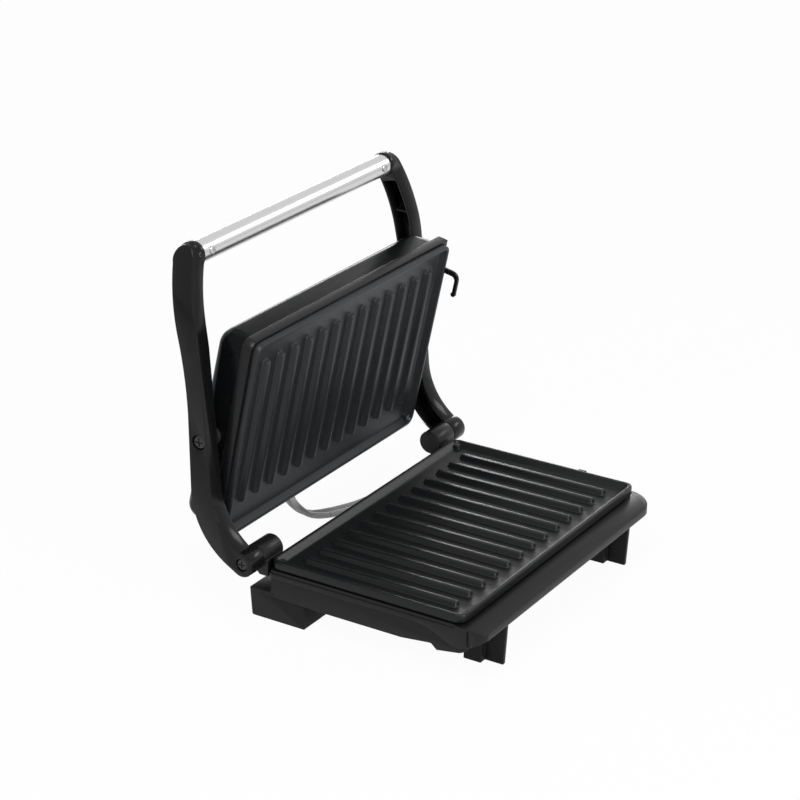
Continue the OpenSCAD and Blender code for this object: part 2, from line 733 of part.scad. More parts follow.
function tangent(p, i) = unit(p[min(i + 1, len(p) - 1)] - p[max(i - 1, 0)]);
function ring(c, t, r) = let (u = unit(cross(t, [-0.7, 0.2, -0.7])), v = cross(t, u))
    [for (k = [0:7]) c + r * (cos(45 * k) * u + sin(45 * k) * v)];

module swept_tube(path, r) {
    n = len(path);
    rings = [for (i = [0:n - 1]) ring(path[i], tangent(path, i), r)];
    points = [for (g = rings) each g];
    walls = [for (i = [0:n - 2], k = [0:7])
        [8 * i + k, 8 * i + (k + 1) % 8, 8 * (i + 1) + (k + 1) % 8, 8 * (i + 1) + k]];
    polyhedron(points, concat([[for (k = [7:-1:0]) k]], walls, [[for (k = [0:7]) 8 * (n - 1) + k]]));
}

// The strands lie side by side: across the fall at first (from 0), and level by the end (to 1).
function strand(path, s, from, to) = [for (i = [0:len(path) - 1])
    let (f = from + (to - from) * i / (len(path) - 1))
    path[i] + s * (strand_r + tiny) * unit(cross(tangent(path, i), [f - 1, 0, -f]))];

module link_lead_upper() {
    color([0.72, 0.72, 0.73]) placed() for (s = [-1, 1]) swept_tube(strand(upper_route, s, 0, 1), strand_r);
}
module link_lead_lower() {
    color([0.72, 0.72, 0.73]) placed() for (s = [-1, 1]) swept_tube(strand(lower_route, s, 1, 1), strand_r);
}

// ---------- arms and handle ----------

heel_angle = 30;
foot_angle = 38;
arm_back = pivot[0] - hinge[0] + arm_w / 2;
heel_rise = -hub_r * cos(heel_angle) + (arm_back - hub_r * sin(heel_angle)) * tan(heel_angle);
neck_lean = 12;
neck_side = [cos(neck_lean), -sin(neck_lean)];
neck_z = handle[1] - shoulder_drop;
neck_front = 18.4;
knee_depth = 18;

// The arm seen from the side, standing open.
function arm_side() = [
    hinge_point(0, 0, 0),
    hinge_point(hub_r * sin(heel_angle), -hub_r * cos(heel_angle), 0),
    hinge_point(arm_back, heel_rise, heel_r),
    hinge_point(arm_back + 0.3, pivot[1] - hinge[1] + 41, 300),
    handle_point((arm_w / 2 - 0.1) * neck_side, 0),
    handle_point([0, 0], 0),
    handle_point(-(arm_w / 2 + 0.2) * neck_side, 0),
    [handle[0] - neck_front, neck_z, 180],
    hinge_point(arm_back - knee_depth, 24.5, heel_r - 5),
    hinge_point(-2.5, 5.8, 0)];
function hinge_point(y, z, r) = [hinge[0] + y, hinge[1] + z, r];
function handle_point(d, r) = [handle[0] + d[0], handle[1] + d[1], r];

// The right arm seen from the front: straight, then curving in toward the handle.
module arm_front(out, in) {
    cx = arm_out - shoulder_r;
    translate([in, 0]) square([out - in, neck_z + eps]);
    intersection() {
        translate([cx, neck_z]) difference() {
            circle(r = out - cx, $fn = 180);
            circle(r = in - cx, $fn = 180);
        }
        translate([cx, neck_z]) square([200, 200]);
    }
}

head_x = plate_w / 2 - 7;
spigot_r = tube_r - tube_wall - tiny;

module arm() {
    recess = arm_out - head_sink;
    difference() {
        union() {
            difference() {
                intersection() {
                    along_x(head_x, arm_out) {
                        outline(arm_side());
                        translate(handle) circle(r = tube_r);
                    }
                    along_y(0, 300) arm_front(arm_out, arm_in);
                }
                // open channel on the inner side
                intersection() {
                    along_x(head_x - 20, arm_out) outline(inset(arm_channel(), arm_wall));
                    along_y(0, 300) arm_front(arm_out - arm_wall, arm_in - 5);
                }
            }
            channel_ribs();
            rod_x(knuckle_in, arm_out, hinge, hub_r);
            rod_x(arm_in, arm_out - 1, pivot, 6.6);
            rod_x(head_x, head_x + 5, handle, collar_r);
            rod_x(head_x - 13, head_x + 4, handle, spigot_r);
        }
        rod_x(0, 200, hinge, hinge_pin_r + run_gap);
        rod_x(recess, 200, hinge, head_r + 0.3);
        rod_x(arm_in - 5, 200, pivot, bush_r + run_gap);
        rod_x(recess, 200, pivot, 5);
        handle_screw_hole(1.4);
    }
}

// The channel stops short of the hub and of the collar.
function arm_channel() = [
    hinge_point(1.5, 5.8 + 4 * tan(foot_angle), 0),
    hinge_point(6, heel_rise + (6 - arm_back) * tan(heel_angle), 0),
    hinge_point(arm_back, heel_rise, heel_r),
    hinge_point(arm_back + 0.3, pivot[1] - hinge[1] + 41, 300),
    handle_point((arm_w / 2 - 0.1) * neck_side - [2.2, 10.5], 0),
    handle_point(-(arm_w / 2 + 0.2) * neck_side - [2.2, 10.5], 0),
    [handle[0] - neck_front, neck_z, 180],
    hinge_point(arm_back - knee_depth, 24.5, heel_r - 5)];

module channel_ribs() {
    intersection() {
        along_x(head_x - 20, arm_out) outline(inset(arm_channel(), 1));
        along_y(0, 300) arm_front(arm_out - 1, arm_in + 3);
        union() {
            block([0, 0, neck_z + 11], [200, 300, neck_z + 13]);
            block([0, 0, pivot[1] + 22], [200, 300, pivot[1] + 24]);
            block([0, 0, pivot[1] - 24], [200, 300, pivot[1] - 22]);
        }
    }
}

module handle_screw_hole(r) {
    translate([head_x - 8, handle[0], handle[1]]) rotate([-8, 0, 0]) rod_y(-20, 0, [0, 0], r);
}

module arm_right() { color([0.04, 0.04, 0.045]) placed() arm(); }
module arm_left() { color([0.04, 0.04, 0.045]) placed() mirror([1, 0, 0]) arm(); }

module handle_tube() {
    color([0.8, 0.8, 0.81]) placed() difference() {
        rod_x(-head_x + tiny, head_x - tiny, handle, tube_r);
        rod_x(-head_x - 1, head_x + 1, handle, tube_r - tube_wall);
        both_sides() handle_screw_hole(1.5);
        both_sides() translate([head_x - 8, handle[0], handle[1]]) rotate([-8, 0, 0])
            rod_y(-20, -tube_r + 0.5, [0, 0], 2.8);
    }
}

module handle_screws() {
    color([0.7, 0.7, 0.72]) placed() both_sides()
        translate([head_x - 8, handle[0], handle[1]]) rotate([-8, 0, 0]) {
            rod_y(-tube_r + 0.5 - eps, -2, [0, 0], 1.4);
            rod_y(-tube_r - 0.7, -tube_r + 0.5, [0, 0], 2.6);
        }
}

// ---------- lid ----------

module upper_plate() { color([0.13, 0.13, 0.14]) on_lid() ribbed_plate(-57, 52); }
module upper_heater() { color([0.55, 0.55, 0.56]) on_lid() heater_loop(); }
module upper_reflector() { color([0.75, 0.75, 0.76]) on_lid() reflector_pan(); }
module upper_thermostat() { color([0.8, 0.78, 0.7]) on_lid() translate([-20, 0, 0]) thermostat_body(); }

function bezel_plan() = [[-bezel_hw, -bezel_hd, 7], [bezel_hw, -bezel_hd, 1.5], [bezel_hw, bezel_back, 6],
    [-bezel_hw, bezel_back, 6]];

module upper_bezel() {
    ledge = plate_rim_h + side_gap;
    color([0.05, 0.05, 0.055]) on_lid() difference() {
        union() {
            difference() {
                along_z(bezel_from, cover_from) outline(bezel_plan());
                along_z(bezel_from - 1, ledge) outline(mid_rect(plate_w + 0.8, plate_d + 0.8, plate_corner_r + 0.4));
                along_z(ledge - eps, cover_from + 1) difference() {
                    outline(mid_rect(2 * opening_hw, plate_d - 2 * opening_in, 3));
                    for (s = [-1, 1]) translate([s * (corner_screw[0] + 46.3), corner_screw[1] + 46.3])
                        square([100, 100], center = true);
                }
            }
        }
        along_z(ledge + 2, cover_from + 1) difference() {
            outline(rect(3 - bezel_hw, 3 - bezel_hd, bezel_hw - 3, bezel_back - 2, 4));
            for (s = [-1, 1]) translate([s * (corner_screw[0] + 46.3), corner_screw[1] + 46.3])
                square([100, 100], center = true);
        }
        both_sides() rod_z(0, 60, corner_screw, screw_r);
    }
}

// The cover's form, moved inward by d: plan, side view and front view cut from one another.
function cover_side(d) = inset([[-cover_hd, cover_from - 30, 0], [cover_back, cover_from - 30, 0],
    [cover_back, cover_from, 0], [cover_back - 2.4, lid_depth, cover_edge_r], [-cover_hd + 1.6, lid_depth - lid_fall, cover_edge_r],
    [-cover_hd, cover_from, 0]], d);

module cover_form(d) {
    intersection() {
        along_z(cover_from - 20, lid_depth + 10) 
            outline(inset(rect(-cover_hw, -cover_hd, cover_hw, cover_back, cover_corner_r), d));
        along_x(-cover_hw, cover_hw) outline(cover_side(d));
        translate([0, cover_back - cover_edge_r, 0]) rotate([fall_angle, 0, 0])
            translate([0, -cover_back + cover_edge_r, 0]) along_y(-2 * plate_d, 2 * plate_d)
            outline(inset([[-cover_hw, -60, 0], [cover_hw, -60, 0], [cover_hw, cover_from, 0],
                [cover_hw - 1.2, lid_depth - crown, cover_edge_r], [0, lid_depth, 0],
                [-cover_hw + 1.2, lid_depth - crown, cover_edge_r], [-cover_hw, cover_from, 0]], d));
    }
}

module upper_cover() {
    side = cover_hw - 0.3;
    color([0.04, 0.04, 0.045]) on_lid() difference() {
        union() {
            difference() {
                cover_form(0);
                cover_form(cover_wall);
                block([-300, -300, -60], [300, 300, cover_from]);
            }
            both_sides() rod_x(cover_hw - 12, side, [pivot_shift, pivot_depth], 6.4);
            rod_x(cover_hw - 6, side, [-latch_at, latch_pin_depth], 4);
        }
        both_sides() rod_x(cover_hw - 13, side + 1, [pivot_shift, pivot_depth], 2.5);
        rod_x(cover_hw - 7, side + 1, [-latch_at, latch_pin_depth], 1.5);
        rod_y(lid_lead_y - 6, lid_lead_y + 4, [lid_lead_x, lid_lead_depth], gland_hole_r);
        for (s = [-1, 1]) rod_z(cover_from + 5, lid_depth + 5, [s * lamp_x, lamp_y], lamp_r + 0.05);
    }
}

lamp_x = 9;
lamp_y = -cover_hd + 26;
lamp_r = 3;

module lamp(s) {
    back = lid_depth - lid_fall - 2.6;
    on_lid() {
        rod_z(back - 8, back + 4.2, [s * lamp_x, lamp_y], lamp_r);
        rod_z(back - 3, back - 1.2, [s * lamp_x, lamp_y], lamp_r + 1.2);
    }
}

module power_lamp() { color([0.7, 0.08, 0.06]) lamp(-1); }
module ready_lamp() { color([0.1, 0.5, 0.15]) lamp(1); }

module upper_screws() {
    back = boss_depth + pan_t;
    color([0.65, 0.65, 0.67]) on_lid() {
        for (sx = [-1, 1], sy = [-1, 1]) {
            rod_z(web_back + 2, back + eps, [sx * boss_x, sy * boss_y], screw_r);
            rod_z(back, back + 1.6, [sx * boss_x, sy * boss_y], 3);
        }
        both_sides() {
            top = cook_drop - 2;
            rod_z(top - eps, cover_from - 1, corner_screw, screw_r);
            rod_z(top - 1.2, top, corner_screw, 2.1);
        }
    }
}

module pivot_bush() {
    difference() {
        union() {
            rod_x(cover_hw - 0.3, arm_in - side_gap, [pivot_shift, pivot_depth], 6.4);
            rod_x(cover_hw - 0.3, arm_out - head_sink + 0.1, [pivot_shift, pivot_depth], bush_r);
        }
        rod_x(0, 200, [pivot_shift, pivot_depth], 2.5);
    }
}

module pivot_bush_right() { color([0.5, 0.5, 0.5]) on_lid() pivot_bush(); }
module pivot_bush_left() { color([0.5, 0.5, 0.5]) on_lid() mirror([1, 0, 0]) pivot_bush(); }

module pivot_screws() {
    seat = arm_out - head_sink + 0.1;
    at = [pivot_shift, pivot_depth];
    color([0.6, 0.6, 0.62]) on_lid() both_sides() difference() {
        union() {
            rod_x(cover_hw - 11, seat + eps, at, 2.5);
            rod_x(seat, seat + head_h, at, 4.6);
        }
        cross_slot(seat + head_h, at);
    }
}

// ---------- latch ----------

latch_in = bezel_hw + side_gap;
tip_r = 1.8;

function latch_profile() = [
    [-latch_at - 1.8, latch_pin_depth, 0],
    [-latch_at - 1.8, -latch_reach - 1.6, 6],
    [-latch_at + latch_leg, -latch_reach - 1.6, 0],
    [-latch_at + latch_leg, -latch_reach + 1, 0],
    [-latch_at + 1.8, -latch_reach + 1, 3],
    [-latch_at + 1.8, latch_pin_depth, 0]];

module latch_hook() {
    color([0.04, 0.04, 0.04]) on_lid() difference() {
        union() {
            along_x(latch_in, latch_in + latch_t) outline(latch_profile());
            rod_x(latch_in, latch_in + latch_t, [-latch_at, latch_pin_depth], 4);
            rod_x(latch_in, latch_in + latch_t, [-latch_at + latch_leg, -latch_reach], tip_r);
        }
        rod_x(0, 300, [-latch_at, latch_pin_depth], 1.5 + run_gap);
        rod_x(latch_in + latch_t - 1.2, 300, [-latch_at, latch_pin_depth], 2.8);
    }
}

module latch_pin() {
    color([0.6, 0.6, 0.62]) on_lid() {
        rod_x(cover_hw - 5.5, latch_in + latch_t - 1.1 + eps, [-latch_at, latch_pin_depth], 1.5);
        rod_x(latch_in + latch_t - 1.1, latch_in + latch_t - 0.1, [-latch_at, latch_pin_depth], 2.5);
    }
}

base_shell();
front_legs();
rear_feet();
base_trim();
bottom_cover();
lower_plate();
lower_heater();
lower_reflector();
lower_thermostat();
thermal_fuse();
terminal_block();
hinge_bracket_left();
hinge_bracket_right();
hinge_screws();
rubber_feet();
base_screws();
mains_gland();
lead_gland_base();
link_lead_lower();
arm_left();
arm_right();
handle_tube();
handle_screws();
upper_plate();
upper_bezel();
upper_cover();
upper_heater();
upper_reflector();
upper_thermostat();
upper_screws();
pivot_bush_left();
pivot_bush_right();
pivot_screws();
power_lamp();
ready_lamp();
lead_gland_lid();
link_lead_upper();
latch_pin();
latch_hook();
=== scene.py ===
# %% [markdown]
# # A panini press gets its looks
# The press is already built as exact solids: a base with a ribbed plate, two arms with a tube between
# them, and a lid that hangs between the arms. Solids whose shape is right keep their mesh and get a
# material. Moulded pieces get a copy with softened edges, because light catches a real moulded edge in a
# thin bright line. The cast plates, the cover, the screw heads and the lead are made afresh, because their
# small rounds are what the light shows most.

import bmesh
import bpy
import json
import math
from mathutils import Matrix, Vector


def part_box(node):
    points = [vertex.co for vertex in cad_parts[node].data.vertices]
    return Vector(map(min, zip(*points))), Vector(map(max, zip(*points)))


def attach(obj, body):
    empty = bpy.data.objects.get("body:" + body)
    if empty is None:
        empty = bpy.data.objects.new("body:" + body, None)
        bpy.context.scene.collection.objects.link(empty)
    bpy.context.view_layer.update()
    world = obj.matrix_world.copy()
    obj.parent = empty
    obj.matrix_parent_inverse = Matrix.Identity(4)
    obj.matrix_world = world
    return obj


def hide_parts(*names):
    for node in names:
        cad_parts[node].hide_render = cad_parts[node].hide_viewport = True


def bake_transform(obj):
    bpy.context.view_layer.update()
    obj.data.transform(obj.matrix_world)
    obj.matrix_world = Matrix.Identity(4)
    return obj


MM = 0.001
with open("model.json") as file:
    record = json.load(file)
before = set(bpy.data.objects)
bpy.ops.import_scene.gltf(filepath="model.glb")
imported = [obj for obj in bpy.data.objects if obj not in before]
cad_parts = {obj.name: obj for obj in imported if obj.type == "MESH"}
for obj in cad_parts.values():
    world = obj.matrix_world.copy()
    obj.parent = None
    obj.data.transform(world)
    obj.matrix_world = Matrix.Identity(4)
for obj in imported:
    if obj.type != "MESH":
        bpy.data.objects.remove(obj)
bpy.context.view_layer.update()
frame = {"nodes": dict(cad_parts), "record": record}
nodes = frame["nodes"]


# %% [markdown]
# ## Camera
# The camera stands about 1.6 m away to the front left, a little above the lid. A short lens from nearer by
# would fill the frame as well, but it would spread the plates' edges like a fan. A long lens keeps them
# nearly parallel, as in a catalogue picture.

# %% Camera
# The lens is in millimetres and the turns are in degrees. The place is measured from the press's middle,
# the lower plate's front edge and the table.
LENS, SENSOR = 109.7, 36
LOOK_DOWN, LOOK_TURN = 23.06, -57.5
PLATE_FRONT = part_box("lower_plate")[0].y
CAMERA_PLACE = (-1.2713, PLATE_FRONT - 0.6895, 0.7655)
camera_data = bpy.data.cameras.new("camera")
camera_data.lens = LENS
camera_data.sensor_width = SENSOR
camera = bpy.data.objects.new("camera", camera_data)
camera.location = CAMERA_PLACE
camera.rotation_euler = (math.radians(90 - LOOK_DOWN), 0, math.radians(LOOK_TURN))
bpy.context.scene.collection.objects.link(camera)
bpy.context.scene.camera = camera
bpy.context.scene.view_settings.view_transform = "Standard"
print("camera lens:", LENS, "mm, looking down", LOOK_DOWN, "degrees")


# %% [markdown]
# ## Small helpers
# `mesh_object` turns a bmesh into an object. The object stays at the origin and the place is in its points.
# `shade` smooths gentle turns and leaves hard ones sharp. `dress` gives a finished piece its material, puts
# it on the body that carries it and hides the solids that it stands for.

# %% Helpers
SAME_POINT = 0.001 * MM


def mesh_object(name, bm, smooth_angle=40):
    bmesh.ops.remove_doubles(bm, verts=bm.verts, dist=SAME_POINT)
    bmesh.ops.recalc_face_normals(bm, faces=bm.faces)
    mesh = bpy.data.meshes.new(name)
    bm.to_mesh(mesh)
    bm.free()
    obj = bpy.data.objects.new(name, mesh)
    bpy.context.scene.collection.objects.link(obj)
    shade(obj, smooth_angle)
    return obj


def shade(obj, angle):
    """Smooth shading that stays sharp where two faces meet at more than the angle."""
    obj.data.shade_smooth()
    obj.data.set_sharp_from_angle(angle=math.radians(angle))


def dress(obj, material, body, stands_for):
    obj.data.materials.clear()
    obj.data.materials.append(material)
    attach(obj, body)
    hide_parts(*stands_for)
    print(obj.name, "faces:", len(obj.data.polygons), "on", body)


def baked_mesh(obj):
    """The mesh that the object's modifiers make."""
    return bpy.data.meshes.new_from_object(obj.evaluated_get(bpy.context.evaluated_depsgraph_get()))


# %% [markdown]
# ## Shared effects
# Every black on the press has a fine grain from its mould or its coat, and faint patches where it was
# wiped. The nodes for that could stand in each material, but then a change would have to be made many
# times. So each effect is one node group with named inputs. `moulding grain` gives a fine bump and a slight
# change of gloss. `soft handling` makes broad, faint patches a little lighter or darker.

# %% Node helpers
def new_group(name, inputs, outputs, kind="ShaderNodeTree"):
    """A node group. Inputs are (name, type, default) and outputs are (name, type)."""
    tree = bpy.data.node_groups.new(name, kind)
    for socket_name, socket_type, default in inputs:
        socket = tree.interface.new_socket(socket_name, in_out="INPUT", socket_type=socket_type)
        if default is not None:
            socket.default_value = default
    for socket_name, socket_type in outputs:
        tree.interface.new_socket(socket_name, in_out="OUTPUT", socket_type=socket_type)
    return tree, tree.nodes.new("NodeGroupInput"), tree.nodes.new("NodeGroupOutput")


def feed(tree, socket, value):
    """Set a socket to a number, or link it to another node's output."""
    if isinstance(value, (int, float)):
        socket.default_value = value
    else:
        tree.links.new(value, socket)


def math_node(tree, operation, *values):
    node = tree.nodes.new("ShaderNodeMath")
    node.operation = operation
    for socket, value in zip(node.inputs, values):
        feed(tree, socket, value)
    return node.outputs[0]


def noise(tree, vector, scale, detail, rough):
    node = tree.nodes.new("ShaderNodeTexNoise")
    tree.links.new(vector, node.inputs["Vector"])
    feed(tree, node.inputs["Scale"], scale)
    node.inputs["Detail"].default_value = detail
    node.inputs["Roughness"].default_value = rough
    return node.outputs["Fac"]


def remap(tree, value, low, high):
    """Spread a 0-to-1 value over low to high."""
    node = tree.nodes.new("ShaderNodeMapRange")
    tree.links.new(value, node.inputs["Value"])
    feed(tree, node.inputs["To Min"], low)
    feed(tree, node.inputs["To Max"], high)
    return node.outputs["Result"]


# %% Moulding grain
FLOAT, VECTOR, COLOR = "NodeSocketFloat", "NodeSocketVector", "NodeSocketColor"
GLOSS_PATCHES = 14.0  # about so many to the metre
grain_tree, grain_in, grain_out = new_group(
    "moulding grain",
    [("Vector", VECTOR, None), ("Scale", FLOAT, 900.0),
     ("Gloss Low", FLOAT, 0.2), ("Gloss High", FLOAT, 0.3)],
    [("Height", FLOAT), ("Roughness", FLOAT)],
)
fine = noise(grain_tree, grain_in.outputs["Vector"], grain_in.outputs["Scale"], detail=2.0, rough=0.6)
grain_tree.links.new(fine, grain_out.inputs["Height"])
broad = noise(grain_tree, grain_in.outputs["Vector"], GLOSS_PATCHES, detail=3.0, rough=0.6)
gloss_there = remap(grain_tree, broad, grain_in.outputs["Gloss Low"], grain_in.outputs["Gloss High"])
grain_tree.links.new(gloss_there, grain_out.inputs["Roughness"])
print(grain_tree.name, "nodes:", len(grain_tree.nodes))

# %% Soft handling
WIPED_PATCHES = 22.0  # about so many to the metre
wipe_tree, wipe_in, wipe_out = new_group(
    "soft handling",
    [("Vector", VECTOR, None), ("Color", COLOR, (0.5, 0.5, 0.5, 1)), ("Amount", FLOAT, 0.1)],
    [("Color", COLOR)],
)
patches = noise(wipe_tree, wipe_in.outputs["Vector"], WIPED_PATCHES, detail=4.0, rough=0.65)
centred = math_node(wipe_tree, "SUBTRACT", patches, 0.5)
lighter = math_node(wipe_tree, "MULTIPLY_ADD", centred, wipe_in.outputs["Amount"], 1.0)
brighten = wipe_tree.nodes.new("ShaderNodeVectorMath")
brighten.operation = "SCALE"
wipe_tree.links.new(wipe_in.outputs["Color"], brighten.inputs[0])
wipe_tree.links.new(lighter, brighten.inputs["Scale"])
wipe_tree.links.new(brighten.outputs[0], wipe_out.inputs["Color"])
print(wipe_tree.name, "nodes:", len(wipe_tree.nodes))


# %% [markdown]
# ## Finishes
# The press is almost all black, so its parts are told apart by gloss. The cover and the arms are polished,
# the trim is a little duller, and the body and its feet are satin. The lid's plate has a slightly pebbled
# coat. The lower plate has the same coat painted darker, as painted shade, and its ribs are painted paler,
# as a painted highlight. Each material could be built by hand, but one function that takes the gloss, the
# grain and the colour keeps them alike.

# %% Finish maker
def finish(name, color, gloss, grain, depth, patch=0.15, metal=0.0, specular=0.5, stretch=None, coat=0.0):
    """A finish. gloss is the lowest and highest roughness, grain and depth the size of its bumps.

    patch is how much the wiped patches show, and stretch draws the pattern out along an axis.
    """
    material = bpy.data.materials.new(name)
    material.use_nodes = True
    tree = material.node_tree
    shader = tree.nodes["Principled BSDF"]
    where = tree.nodes.new("ShaderNodeTexCoord").outputs["Object"]
    if stretch:
        mapping = tree.nodes.new("ShaderNodeMapping")
        mapping.inputs["Scale"].default_value = stretch
        tree.links.new(where, mapping.inputs["Vector"])
        where = mapping.outputs["Vector"]
    marks = tree.nodes.new("ShaderNodeGroup")
    marks.node_tree = grain_tree
    marks.inputs["Scale"].default_value = grain
    marks.inputs["Gloss Low"].default_value = gloss[0]
    marks.inputs["Gloss High"].default_value = gloss[1]
    tree.links.new(where, marks.inputs["Vector"])
    tree.links.new(marks.outputs["Roughness"], shader.inputs["Roughness"])
    bump = tree.nodes.new("ShaderNodeBump")
    bump.inputs["Distance"].default_value = depth
    tree.links.new(marks.outputs["Height"], bump.inputs["Height"])
    tree.links.new(bump.outputs["Normal"], shader.inputs["Normal"])
    tint = tree.nodes.new("ShaderNodeGroup")
    tint.node_tree = wipe_tree
    tint.inputs["Color"].default_value = (*color, 1)
    tint.inputs["Amount"].default_value = patch
    tree.links.new(where, tint.inputs["Vector"])
    tree.links.new(tint.outputs["Color"], shader.inputs["Base Color"])
    shader.inputs["Metallic"].default_value = metal
    shader.inputs["Specular IOR Level"].default_value = specular
    shader.inputs["Coat Weight"].default_value = coat
    print("finish:", name)
    return material


# %% Black plastics and rubber
gloss_black = finish("gloss black plastic", (0.005, 0.005, 0.0055), gloss=(0.12, 0.2), grain=500,
                     depth=0.012 * MM, specular=0.24)
cover_black = finish("gloss black cover", (0.004, 0.0045, 0.005), gloss=(0.16, 0.24), grain=420,
                     depth=0.012 * MM, specular=0.11)
trim_black = finish("semi-gloss black trim", (0.006, 0.006, 0.0065), gloss=(0.26, 0.36), grain=900,
                    depth=0.02 * MM, specular=0.28)
body_black = finish("satin black body", (0.006, 0.006, 0.0065), gloss=(0.36, 0.46), grain=1400,
                    depth=0.04 * MM, specular=0.22)
dark_bush = finish("bush plastic", (0.012, 0.012, 0.013), gloss=(0.5, 0.6), grain=1300,
                   depth=0.02 * MM, specular=0.3)
soft_rubber = finish("soft black rubber", (0.02, 0.02, 0.02), gloss=(0.7, 0.8), grain=1800,
                     depth=0.03 * MM, patch=0.2)

# %% Non-stick coats
plate_coat = finish("non-stick coat", (0.013, 0.015, 0.0165), gloss=(0.3, 0.4), grain=1100,
                    depth=0.06 * MM, patch=0.2, specular=0.36)
# The lower plate's coat is the lid's coat painted darker, as painted shade.
shaded_plate_coat = finish("non-stick coat, painted shade", (0.006, 0.0065, 0.007), gloss=(0.28, 0.36), grain=1100,
                   depth=0.08 * MM, patch=0.2, specular=0.3)
# The lower plate's ribs are painted paler than its coat, as a painted highlight.
rib_highlight_coat = finish("non-stick coat, ribs with painted highlight", (0.04, 0.04, 0.041), gloss=(0.26, 0.34), grain=1100,
                  depth=0.1 * MM, patch=0.3, specular=0.55)

# %% Metals, lead, insulators and lenses
tube_metal = finish("satin drawn tube", (0.83, 0.83, 0.84), gloss=(0.22, 0.3), grain=900,
                    depth=0.008 * MM, patch=0.04, metal=1.0, stretch=(0.03, 1, 1))
dark_screw = finish("blackened screw steel", (0.05, 0.05, 0.052), gloss=(0.25, 0.35), grain=1500,
                    depth=0.01 * MM, patch=0.1, metal=0.6)
screw_steel = finish("plated screw steel", (0.62, 0.62, 0.64), gloss=(0.25, 0.38), grain=1500,
                     depth=0.01 * MM, patch=0.1, metal=1.0)
heater_steel = finish("dull heater sheath", (0.3, 0.29, 0.28), gloss=(0.42, 0.55), grain=1200,
                      depth=0.02 * MM, patch=0.3, metal=1.0)
bright_sheet = finish("bright reflector sheet", (0.8, 0.8, 0.81), gloss=(0.2, 0.35), grain=700,
                      depth=0.02 * MM, patch=0.1, metal=1.0, stretch=(1, 0.05, 1))
lead_sleeve = finish("glossy grey sleeve", (0.58, 0.58, 0.59), gloss=(0.25, 0.33), grain=700,
                     depth=0.01 * MM, patch=0.08)
glazed_body = finish("glazed insulator", (0.72, 0.68, 0.58), gloss=(0.3, 0.45), grain=1200,
                     depth=0.02 * MM, patch=0.12)
red_lens = finish("red lens", (0.55, 0.02, 0.015), gloss=(0.08, 0.14), grain=500,
                  depth=0.005 * MM, patch=0.1, coat=0.4)
green_lens = finish("green lens", (0.03, 0.4, 0.07), gloss=(0.08, 0.14), grain=500,
                    depth=0.005 * MM, patch=0.1, coat=0.4)


# %% [markdown]
# ## Materials for the solids
# Every solid gets the material of its slot. The tube, the bushes, the pads, the grommets, the small lamps
# and all that is out of sight inside the press keep their mesh, because it already has the right shape. The
# small screws that hold the plates, and the hook's pin, are blackened, so they get a darker steel than the
# handle's screws.

# %% Assign materials
by_slot = {
    "base_plastic": body_black, "trim_plastic": trim_black, "cover_plastic": cover_black,
    "arm_plastic": gloss_black, "latch_plastic": gloss_black, "plate_coating": plate_coat,
    "heater_steel": heater_steel, "reflector_sheet": bright_sheet, "ceramic": glazed_body,
    "screw_steel": screw_steel, "soft_rubber": soft_rubber, "lead_sleeve": lead_sleeve,
    "handle_metal": tube_metal, "bush_plastic": dark_bush, "power_lens": red_lens, "ready_lens": green_lens,
}
slot_of = {row["node"]: row["material_slot"] for row in frame["record"]["subparts"]}
for node_name, obj in nodes.items():
    obj.data.materials.clear()
    obj.data.materials.append(by_slot[slot_of[node_name]])
for node_name in ("base_screws", "upper_screws", "latch_pin"):
    nodes[node_name].data.materials[0] = dark_screw
print("solids with a finish:", len(nodes))


# %% [markdown]
# ## Moulded pieces with softened edges
# A moulded shell has no knife edges. The rounds could be modelled one by one, but a bevel on a copy finds
# all of them by their angle. Each visible shell is copied, its loose triangles are merged, and the bevel
# rounds every edge that is sharper than the angle given. The copy then stands for the solid. Flat triangles
# are joined first, so that the bevel has clean faces to run along. The two frames are left in triangles,
# because a flat face around an opening can't be one face.

# %% Softened copies
SAME_PLANE = math.radians(1.0)
SHARP_EDGE = math.radians(35)
EDGE_SEGMENTS = 2


def softened(node, name, edge, body, join_flats):
    bm = bmesh.new()
    bm.from_mesh(nodes[node].data)
    bmesh.ops.remove_doubles(bm, verts=bm.verts, dist=2 * SAME_POINT)
    if join_flats:
        bmesh.ops.dissolve_limit(bm, angle_limit=SAME_PLANE, verts=bm.verts, edges=bm.edges)
    mesh = bpy.data.meshes.new(name)
    bm.to_mesh(mesh)
    bm.free()
    obj = bpy.data.objects.new(name, mesh)
    bpy.context.scene.collection.objects.link(obj)
    bevel = obj.modifiers.new("edge", "BEVEL")
    bevel.width = edge
    bevel.segments = EDGE_SEGMENTS
    bevel.limit_method = "ANGLE"
    bevel.angle_limit = SHARP_EDGE
    bevel.use_clamp_overlap = False
    bevel.miter_outer = "MITER_ARC"
    baked = baked_mesh(obj)
    obj.modifiers.clear()
    obj.data = baked
    baked.name = name
    shade(obj, 30)
    dress(obj, by_slot[slot_of[node]], body, [node])


# %% Which pieces are softened
# The solid, the copy's name, the edge's width in millimetres, the body, and whether flats are joined. The
# hook and the trim meet when the press is shut, so their edges are narrow.
MOULDED = [
    ("base_shell", "body_moulding", 0.5, "base", True),
    ("front_legs", "front_leg_moulding", 0.5, "base", True),
    ("rear_feet", "rear_foot_moulding", 0.5, "base", True),
    ("base_trim", "trim_moulding", 0.25, "base", False),
    ("upper_bezel", "bezel_moulding", 0.4, "lid", False),
    ("arm_left", "arm_moulding_left", 0.7, "arms", True),
    ("arm_right", "arm_moulding_right", 0.7, "arms", True),
    ("hinge_bracket_left", "hinge_barrel_left", 0.5, "base", True),
    ("hinge_bracket_right", "hinge_barrel_right", 0.5, "base", True),
    ("latch_hook", "latch_moulding", 0.2, "latch", True),
]
for node_name, piece_name, edge_mm, body_name, join_flats in MOULDED:
    softened(node_name, piece_name, edge_mm * MM, body_name, join_flats)


